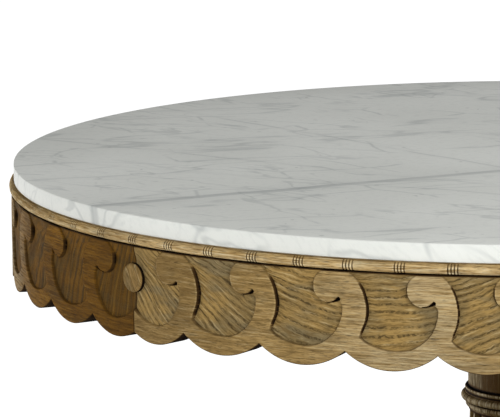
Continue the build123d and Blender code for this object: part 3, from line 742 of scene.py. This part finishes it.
def mouldingPiece(number):
    # a half-round bead under a thin ledge, carried round a quarter: radius = outline - depth times the sum of
    # e^-((distance from a groove) / width)^2, at an angle of (distance along) / radius
    shape = mouldingShape
    inner, outer, low, high = nodeReach(f"rim_moulding_{number}")
    outer = outer - shape["inset"]
    beadTop, beadLow = high - shape["quirk"], low + shape["gap"]
    beadRadius = (beadTop - beadLow) / 2
    back = outer - beadRadius
    bead = arcPoints((back, (beadTop + beadLow) / 2), beadRadius, 90, -90, shape["beadRows"])
    ledge = [(inner, high), (back - 0.3, high), (back, high - 0.3)]
    profile = np.vstack([ledge, bead, [(back, low), (inner, low)]])
    beadRows = slice(len(ledge), len(ledge) + len(bead))
    turnDown = np.linspace(90, -90, shape["beadRows"])

    # columns: fine ones across each group of rings, and few between the groups
    perDegree = outer * degree
    span = 360 / panelShape["pairs"]
    pitch = span / shape["groups"]
    start = panelShape["firstJoint"] + shape["offset"] + span * (number - 1)
    firstGroup = np.ceil((start - panelShape["firstJoint"]) / pitch) * pitch + panelShape["firstJoint"]
    reach = shape["groupReach"]
    between = np.linspace(reach, pitch * perDegree - reach, 12)[:-1]
    local = np.concatenate([np.arange(-reach, reach, shape["fine"]), between])
    middles = (firstGroup + pitch * np.arange(-1, shape["groups"] + 1)) * perDegree
    along = np.add.outer(middles, local).ravel()
    ends = np.array([start, start + span]) * perDegree
    along = np.unique(np.concatenate([ends, along[(along > ends[0] + 0.2) & (along < ends[1] - 0.2)]]))
    fromGroup = ((along / perDegree - firstGroup + pitch / 2) % pitch - pitch / 2) * perDegree
    fromEnd = np.minimum(along - ends[0], ends[1] - along)
    endCut = bellCurve(fromEnd, 0.5)[:, None]

    groove = sum(bellCurve(fromGroup - g, shape["grooveWidth"]) for g in shape["grooves"])[:, None]
    ringLight = smoothStep(7.4, 5.8, np.abs(fromGroup))[:, None] * (1 - np.clip(1.2 * groove, 0, 1))
    onBead = np.zeros(len(profile))
    onBead[beadRows] = np.clip(np.cos(turnDown * degree) * 3, 0, 1)
    radius = profile[None, :, 0] - groove * onBead * shape["grooveDepth"] - 0.4 * endCut * (onBead > 0)
    angle = (along / perDegree)[:, None] * degree
    height = profile[None, :, 1] + 0 * angle
    points = aroundAxis(radius, angle, height)
    uv = np.broadcast_arrays(along[:, None] * mm + number, runLength(profile) * mm + 0.17 * number)

    # painted shade under the ledge, in the grooves and at the foot; the lower front of the bead and its rings
    # is painted pale, a painted highlight with some wear
    creases = np.zeros(len(profile))
    creases[1:5] = (0.1, 0.35, 0.35, 0.1)
    creases[-5:] = (0.12, 0.35, 0.8, 1.0, 1.0)
    front = np.zeros(len(profile))
    front[beadRows] = bellCurve(turnDown + 12, 48)
    waxAndShade = np.clip(groove * onBead * (0.42 + 0.20 * front) + creases, 0, 0.97)
    marks = {"waxAndShade": np.maximum(waxAndShade, 0.8 * endCut), "wornAndHighlight": (0.30 + 0.65 * ringLight) * front}
    piece = gridMesh(f"beadMoulding{number}", points, np.stack(uv, axis=-1), marks, loopV=True, capEnds=True)
    weld(piece, 0.000001)
    return fit(piece, mouldingOak, f"rim_moulding_{number}", 50)


for number in range(1, panelShape["pairs"] + 1):
    mouldingPiece(number)
print("moulding made")


def nothing(around, height, radius):  # no cut, no painted shade and no painted highlight
    return 0 * height


def turnedPiece(name, node, profile, material, spokes=192,
                carve=nothing, waxAndShade=nothing, wearAndHighlight=nothing, sharp=35):
    # a closed outline of radius and height carried round the Z axis; carve lowers the radius, one function
    # darkens with painted shade and one pales with painted highlight, and all three are functions of the
    # angle round, the height and the radius
    angle = np.linspace(0, 2 * np.pi, spokes + 1)
    around = np.broadcast_to(angle[:, None], (spokes + 1, len(profile)))
    height = np.broadcast_to(profile[None, :, 1], around.shape)
    radius = profile[None, :, 0] - carve(around, height, profile[None, :, 0])
    points = aroundAxis(radius, around, height)
    uv = np.broadcast_arrays(around * profile[:, 0].max() * mm, -runLength(profile) * mm)
    marks = {"waxAndShade": waxAndShade(around, height, radius), "wornAndHighlight": wearAndHighlight(around, height, radius)}
    piece = gridMesh(name, points, np.stack(uv, axis=-1), marks, loopV=True)
    weld(piece, 0.000002)
    return fit(piece, material, node, sharp)


# Marble slab: flat faces and an edge eased by a small round
slabShape = {"ease": 1.5, "spokes": 720}
ease = slabShape["ease"]
faceRings = np.linspace(0, slabRadius - ease, 8)[:-1]
slabProfile = np.vstack([
    np.column_stack([faceRings, np.full(7, slabHigh)]),
    arcPoints((slabRadius - ease, slabHigh - ease), ease, 90, 0, 6),
    arcPoints((slabRadius - ease, slabLow + ease), ease, 0, -90, 6),
    np.column_stack([faceRings[::-1], np.full(7, slabLow)]),
])
turnedPiece("marbleSlab", "marble_top", slabProfile, carrara, slabShape["spokes"], sharp=60)

columnShape = {
    "flutes": 24, "fluteWidth": 5.7, "fluteDepth": 4.6,  # half the flute's width in degrees, and its depth
    "paintedLight": 0.20, "paintedLightAt": 190.0, "paintedLightWide": 30.0,  # the neck's painted light on one side: how pale, where and how wide
    "paintedShadeLevel": 0.46,  # how dark the painted shade is on the rest of the neck
    "ticks": 36, "tickDepth": 0.35, "tickWidth": 0.35,  # short cuts across the collar's torus
    "lobes": 36, "lobeDepth": 0.9, "lobeWidth": 1.0,  # notches round the bead under it
    "collarProud": 8.3, "shaftStep": 1.6,  # the collar's and the neck's steps out
    "collarEdges": (0, 1.5, 5.5, 9.3, 17.9, 19.5, 26.0),  # down from the collar's top
}


def saw(angle, count):  # degrees from the nearest of count even places round the axis
    pitch = 360 / count
    return (angle / degree + pitch / 2) % pitch - pitch / 2


bore, neckTop, neckLow, neckHigh = nodeReach("neck")
collarBore, collarOut, collarLow, collarHigh = nodeReach("collar_ring")
neckRadius = collarOut - columnShape["collarProud"]
neckProfile = np.vstack([
    [(bore, neckLow), (neckRadius, neckLow), (neckRadius, neckLow + 1.5), (neckRadius, neckLow + 4),
     (neckRadius, neckLow + 30), (neckRadius, neckLow + 70), (neckRadius, neckHigh - 40)],
    arcPoints((neckTop, neckHigh - 26), neckTop - neckRadius, 180, 90, 14),
    [(neckTop, neckHigh - 5.5), (neckTop, neckHigh - 0.5), (neckTop - 0.5, neckHigh), (bore, neckHigh)],
])


def neckPaintedLight(around, height, radius):  # painted light: pale on one side, falling off round the drum
    away = np.abs(around / degree % 360 - columnShape["paintedLightAt"])
    return columnShape["paintedLight"] * smoothStep(columnShape["paintedLightWide"], 6, away)


def neckShade(around, height, radius):  # painted shade on the drum away from its painted light, and in the joint below
    away = np.abs(around / degree % 360 - columnShape["paintedLightAt"])
    litSide = smoothStep(columnShape["paintedLightWide"] + 12, 6, away)
    joint = 1 - smoothStep(neckLow, neckLow + 3, height)
    return np.maximum(0.9 * joint, columnShape["paintedShadeLevel"] * (1 - litSide))


turnedPiece("columnNeck", "neck", neckProfile[::-1], columnOak, waxAndShade=neckShade, wearAndHighlight=neckPaintedLight)


# The collar's edges from its top down: ring, cove, torus, groove, bead and foot
edge = [collarHigh - drop for drop in columnShape["collarEdges"]] + [collarLow]
torusBack = collarOut - 4.3
collarProfile = np.vstack([
    [(collarBore, edge[0]), (neckRadius - 1.3, edge[0]), (neckRadius - 1.3, edge[1])],
    arcPoints((neckRadius + 1.7, (edge[1] + edge[2]) / 2), 2.0, 88, -60, 9),
    smoothPath([(neckRadius + 2.4, edge[2]), (neckRadius + 2.6, edge[2] - 1.6),
                (torusBack - 0.6, edge[3] + 0.5)], 4),
    arcPoints((torusBack, (edge[3] + edge[4]) / 2), 4.3, 95, -88, 19),
    [(neckRadius - 0.8, edge[4] - 0.3), (neckRadius - 0.8, edge[5] + 0.2)],
    arcPoints((neckRadius - 0.2, (edge[5] + edge[6]) / 2), 3.2, 88, -88, 13),
    [(neckRadius - 0.8, edge[6] - 0.4), (neckRadius - 0.8, edge[7]), (collarBore, edge[7])],
])


def collarCarve(around, height, radius):  # cuts across the torus and notches round the small bead
    cut = bellCurve(saw(around, columnShape["ticks"]), columnShape["tickWidth"]) * columnShape["tickDepth"]
    onTorus = smoothStep(edge[4], edge[4] + 1.5, height) * smoothStep(edge[3], edge[3] - 2.0, height)
    onBead = smoothStep(edge[6] - 0.3, edge[6] + 0.6, height) * smoothStep(edge[5], edge[5] - 0.8, height)
    lobe = bellCurve(saw(around, columnShape["lobes"]), columnShape["lobeWidth"]) * columnShape["lobeDepth"]
    return cut * onTorus * smoothStep(neckRadius + 4, neckRadius + 7, radius) + lobe * onBead


def collarShade(around, height, radius):  # painted shade in the creases, and some in the cuts
    creases = ((edge[0], 1.0), (edge[1], 0.8), (edge[2] - 1.8, 1.5), (edge[4] - 0.6, 1.1), (edge[5], 0.8),
               (edge[7], 1.6))
    crease = sum(bellCurve(height - level, wide) for level, wide in creases)
    cut = bellCurve(saw(around, columnShape["ticks"]), 0.5) * smoothStep(edge[6], edge[6] + 1, height)
    cut = cut * smoothStep(edge[3], edge[3] - 1, height)
    return np.clip(np.clip(crease, 0, 1) * 0.98 + 0.45 * cut, 0, 1)


def collarPaintedHighlight(around, height, radius):  # painted highlights on the crowns of the ring, the torus and the bead
    ring, torus, bead = (edge[1] + edge[2]) / 2, (edge[3] + edge[4]) / 2, (edge[5] + edge[6]) / 2
    crowns = (ring, 1.6, 0.6), (torus + 1.0, 3.2, 0.45), (bead, 2.4, 0.5)
    return sum(strength * bellCurve(height - level, wide) for level, wide, strength in crowns)


turnedPiece("columnCollar", "collar_ring", collarProfile, columnOak, spokes=864,
            carve=collarCarve, waxAndShade=collarShade, wearAndHighlight=collarPaintedHighlight)

shaftBore, shaftOut, shaftLow, shaftHigh = nodeReach("fluted_shaft")
shaftTop = neckRadius - columnShape["shaftStep"]


def fluteCurve(around, height):  # 1 in the middle of a flute, falling as half an ellipse to 0 at its edges
    away = np.abs(saw(around, columnShape["flutes"])) / columnShape["fluteWidth"]
    run = np.minimum(height - shaftLow - 10, shaftHigh + 30 - height) / 8
    end = np.sqrt(np.clip(1 - np.clip(1 - run, 0, 1) ** 2, 0, 1))
    return np.sqrt(np.clip(end ** 2 - away ** 2, 0, 1))


shaftRows = np.linspace(shaftHigh, shaftLow, 70)
shaftSide = shaftTop + (shaftOut - shaftTop) * (shaftHigh - shaftRows) / (shaftHigh - shaftLow)
shaftProfile = np.vstack([[(shaftBore, shaftHigh)], np.column_stack([shaftSide, shaftRows]),
                          [(shaftBore, shaftLow)]])


def shaftCarve(around, height, radius):  # the flutes' curve times their depth, on the outside only
    return fluteCurve(around, height) * columnShape["fluteDepth"] * (radius > shaftBore + 5)


def shaftShade(around, height, radius):  # painted shade in the flutes and under the collar
    under = smoothStep(5, 0, shaftHigh - height)
    return np.clip(0.75 * fluteCurve(around, height) ** 2 + 0.6 * under, 0, 0.9)


def shaftPaintedHighlight(around, height, radius):  # painted highlights on the fillets between the flutes
    return 0.75 * (fluteCurve(around, height) < 0.02)


turnedPiece("flutedShaft", "fluted_shaft", shaftProfile, columnOak, spokes=576,
            carve=shaftCarve, waxAndShade=shaftShade, wearAndHighlight=shaftPaintedHighlight, sharp=30)

footShape = {
    "roll": 13.0, "rollDrop": 6.0,  # the torus under the shaft: its radius, and how far down it starts
    "filletProud": 6.0, "rollFoot": 7.0,  # the fillet over it, and how far in the ledge under it stands
    "capStep": 8.0, "capEdge": 9.0,  # the cap's upright step round the torus, and its outer edge's height
    "ogeeDrop": 5.0, "capLip": 4.0,  # where the cap's ogee starts and ends
    "baseRound": 16.0, "baseStep": 3.0,  # the base's rounded edge, and the step over it
    "rodHole": 27.0, "rodHoleDepth": 12.0,  # the counterbore for the rod's lower nut
}
torusBore, torusOut, torusLow, torusHigh = nodeReach("base_torus")
roll = footShape["roll"]
torusMiddle = torusHigh - footShape["rollDrop"] - roll
topFillet = shaftOut + footShape["filletProud"]
ledgeOut = torusOut - footShape["rollFoot"]
torusProfile = np.vstack([
    [(torusBore, torusHigh), (topFillet - 0.7, torusHigh), (topFillet, torusHigh - 0.7),
     (topFillet, torusMiddle + roll)],
    arcPoints((torusOut - roll, torusMiddle), roll, 90, -90, 25),
    [(ledgeOut, torusMiddle - roll), (ledgeOut, torusLow), (torusBore, torusLow)],
])


def creaseShade(*levels):  # painted shade in the creases at these heights
    def shade(around, height, radius):
        return 0.9 * np.clip(sum(bellCurve(height - level, 1.3) for level in levels), 0, 1)
    return shade


turnedPiece("baseTorus", "base_torus", torusProfile, columnOak, spokes=256,
            waxAndShade=creaseShade(torusHigh, torusMiddle + roll, torusMiddle - roll, torusLow))

capBore, capOut, capLow, capHigh = nodeReach("plinth_cap")
step, edgeTop = torusOut + footShape["capStep"], capLow + footShape["capEdge"]
rise = capHigh - edgeTop - footShape["ogeeDrop"]
sweep = np.linspace(0, 1, 24)
ogeeRadius = step + (capOut - footShape["capLip"] - step) * sweep
ogeeHeight = edgeTop + rise * (1 + np.cos(np.pi * sweep)) / 2
capProfile = np.vstack([
    [(capBore, capHigh), (step - 0.8, capHigh), (step, capHigh - 0.8), (step, edgeTop + rise + 0.4)],
    np.column_stack([ogeeRadius, ogeeHeight]),
    [(capOut - 0.8, edgeTop), (capOut, edgeTop - 0.8), (capOut, capLow), (capBore, capLow)],
])
turnedPiece("plinthCap", "plinth_cap", capProfile, plinthOak, spokes=320,
            waxAndShade=creaseShade(capHigh, edgeTop + rise, edgeTop, capLow))

baseBore, baseOut, baseLow, baseHigh = nodeReach("plinth_base")
rounding, rodHole = footShape["baseRound"], footShape["rodHole"]
shoulder, holeTop = baseOut - rounding, baseLow + footShape["rodHoleDepth"]
roundTop = baseHigh - footShape["baseStep"]
baseProfile = np.vstack([
    [(baseBore, baseHigh), (shoulder - 4.6, baseHigh), (shoulder - 4, baseHigh - 0.6),
     (shoulder - 4, roundTop)],
    arcPoints((shoulder, roundTop - rounding), rounding, 90, 0, 18),
    [(baseOut, baseLow + 1), (baseOut - 1, baseLow), (rodHole, baseLow), (rodHole, holeTop),
     (baseBore, holeTop)],
])
turnedPiece("plinthBase", "plinth_base", baseProfile, plinthOak, spokes=360, waxAndShade=creaseShade(roundTop))
print("turned pieces made")

# The CAD nodes that stay, with a finish each
nodeFinish = {
    "sub_top": plywood, "marble_pads": clearPad, "glue_blocks": blockOak, "bearer_upper": railOak,
    "bearer_lower": railOak, "block_screws": screwSteel, "bearer_screws": screwSteel,
    "plinth_screws": screwSteel, "plate_screws": screwSteel, "mounting_plate": blackPlate,
    "capital_block": plinthOak, "foot_inserts": zinc, "tie_rod": zinc, "rod_washers": zinc, "rod_nuts": zinc,
}
for k in range(1, 5):
    nodeFinish[f"bun_foot_{k}"] = plinthOak
    nodeFinish[f"leveller_{k}"] = glideSteel
for name, material in nodeFinish.items():
    coat(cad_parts[name], material)

studio = {
    "floor": (0.84, 0.84, 0.83), "floorGlow": 0.80,
    "glowFrom": 0.6, "glowTo": 2.1,  # the floor's glow grows between these distances from the table's axis
    "around": 0.27,  # the room's own light
}
lamps = {
    "keyLight": {"kind": "AREA", "place": (1.76, -3.96, 3.15), "target": (0, 0, 0.65), "power": 138.0,
                 "colour": (0.96, 0.99, 1.0), "shape": "DISK", "size": 2.2},
    "fillLight": {"kind": "AREA", "place": (-4.56, -0.40, 1.05), "target": (0, 0, 0.65), "power": 40.0,
                  "colour": (0.97, 1.0, 1.0), "shape": "DISK", "size": 1.7},
    "topLight": {"kind": "AREA", "place": (1.60, -0.80, 2.90), "target": (0.3, 0, 0.76), "power": 17.0,
                 "colour": (1, 1, 1), "shape": "DISK", "size": 1.6},
    # a narrow beam that passes under the apron to the column's left side
    "lowLight": {"kind": "SPOT", "place": (-3.15, 2.10, 0.34), "target": (0, 0, 0.50), "power": 420.0,
                 "colour": (1.0, 0.97, 0.90), "shadow_soft_size": 0.12, "spot_size": 9 * degree,
                 "spot_blend": 0.9},
}

floorMesh = bpy.data.meshes.new("studioFloor")
floorMesh.from_pydata([(-60, -60, 0), (60, -60, 0), (60, 60, 0), (-60, 60, 0)], [], [(0, 1, 2, 3)])
floor = bpy.data.objects.new("studioFloor", floorMesh)
scene.collection.objects.link(floor)


def floorFinish(name):  # pale paper, lit brighter away from the table
    finish = Finish(name, Roughness=0.9, Specular_IOR_Level=0.1)
    place = finish.place()
    paper = finish.noise(place, 40.0, 2.0)
    colour = finish.mix(paper * 0.1, studio["floor"], tuple(0.9 * c for c in studio["floor"]))
    away = finish.add("VectorMath", {"operation": "LENGTH"}, [place], output=1)
    glow = finish.mix(away.between(studio["glowFrom"], studio["glowTo"]), (0, 0, 0), (1, 1, 1))
    finish.shader.inputs["Emission Strength"].default_value = studio["floorGlow"]
    return finish.link(Base_Color=colour, Emission_Color=glow)


coat(floor, floorFinish("studioPaper"))

world = bpy.data.worlds.new("studioWorld")
scene.world = world
world.use_nodes = True
tree = world.node_tree
background = tree.nodes["Background"]
background.inputs["Color"].default_value = (1, 1, 1, 1)
seen = tree.nodes.new("ShaderNodeLightPath")
strength = tree.nodes.new("ShaderNodeMapRange")  # white behind the table, softer as light
strength.inputs["To Min"].default_value = studio["around"]
strength.inputs["To Max"].default_value = 1.0
tree.links.new(seen.outputs["Is Camera Ray"], strength.inputs["Value"])
tree.links.new(strength.outputs["Result"], background.inputs["Strength"])


def addLamp(name, kind, place, target, power, colour, **settings):  # settings are the light's own
    light = bpy.data.lights.new(name, kind)
    light.energy = power
    light.color = colour
    for key, value in settings.items():
        setattr(light, key, value)
    lamp = bpy.data.objects.new(name, light)
    lamp.location = place
    lamp.rotation_euler = (Vector(target) - Vector(place)).to_track_quat("-Z", "Y").to_euler()
    lamp.visible_camera = False
    scene.collection.objects.link(lamp)


for name, settings in lamps.items():
    addLamp(name, **settings)

# The camera: how many slab radii away and above the top, three turns in radians, and its lens in mm
view = {"away": 8.2491, "above": 1.2996, "yaw": -0.0665, "pitch": 0.1687, "roll": -0.0102, "lens": 312.4}
camera = bpy.data.objects.new("camera", bpy.data.cameras.new("camera"))
scene.collection.objects.link(camera)
levelForward = Vector((np.sin(view["yaw"]), np.cos(view["yaw"]), 0))
forward = levelForward * np.cos(view["pitch"]) - Vector((0, 0, np.sin(view["pitch"])))
levelRight = Vector((levelForward.y, -levelForward.x, 0))
levelUp = levelRight.cross(forward)
right = levelRight * np.cos(view["roll"]) + levelUp * np.sin(view["roll"])
up = levelUp * np.cos(view["roll"]) - levelRight * np.sin(view["roll"])
camera.matrix_world = Matrix.LocRotScale(
    Vector((0, -view["away"] * slabRadius * mm, (slabHigh + view["above"] * slabRadius) * mm)),
    Matrix((right, up, -forward)).transposed(), None)
camera.data.lens = view["lens"]
camera.data.sensor_width = 36
camera.data.clip_end = 200
scene.camera = camera
scene.view_settings.view_transform = "Standard"
print("stage set")
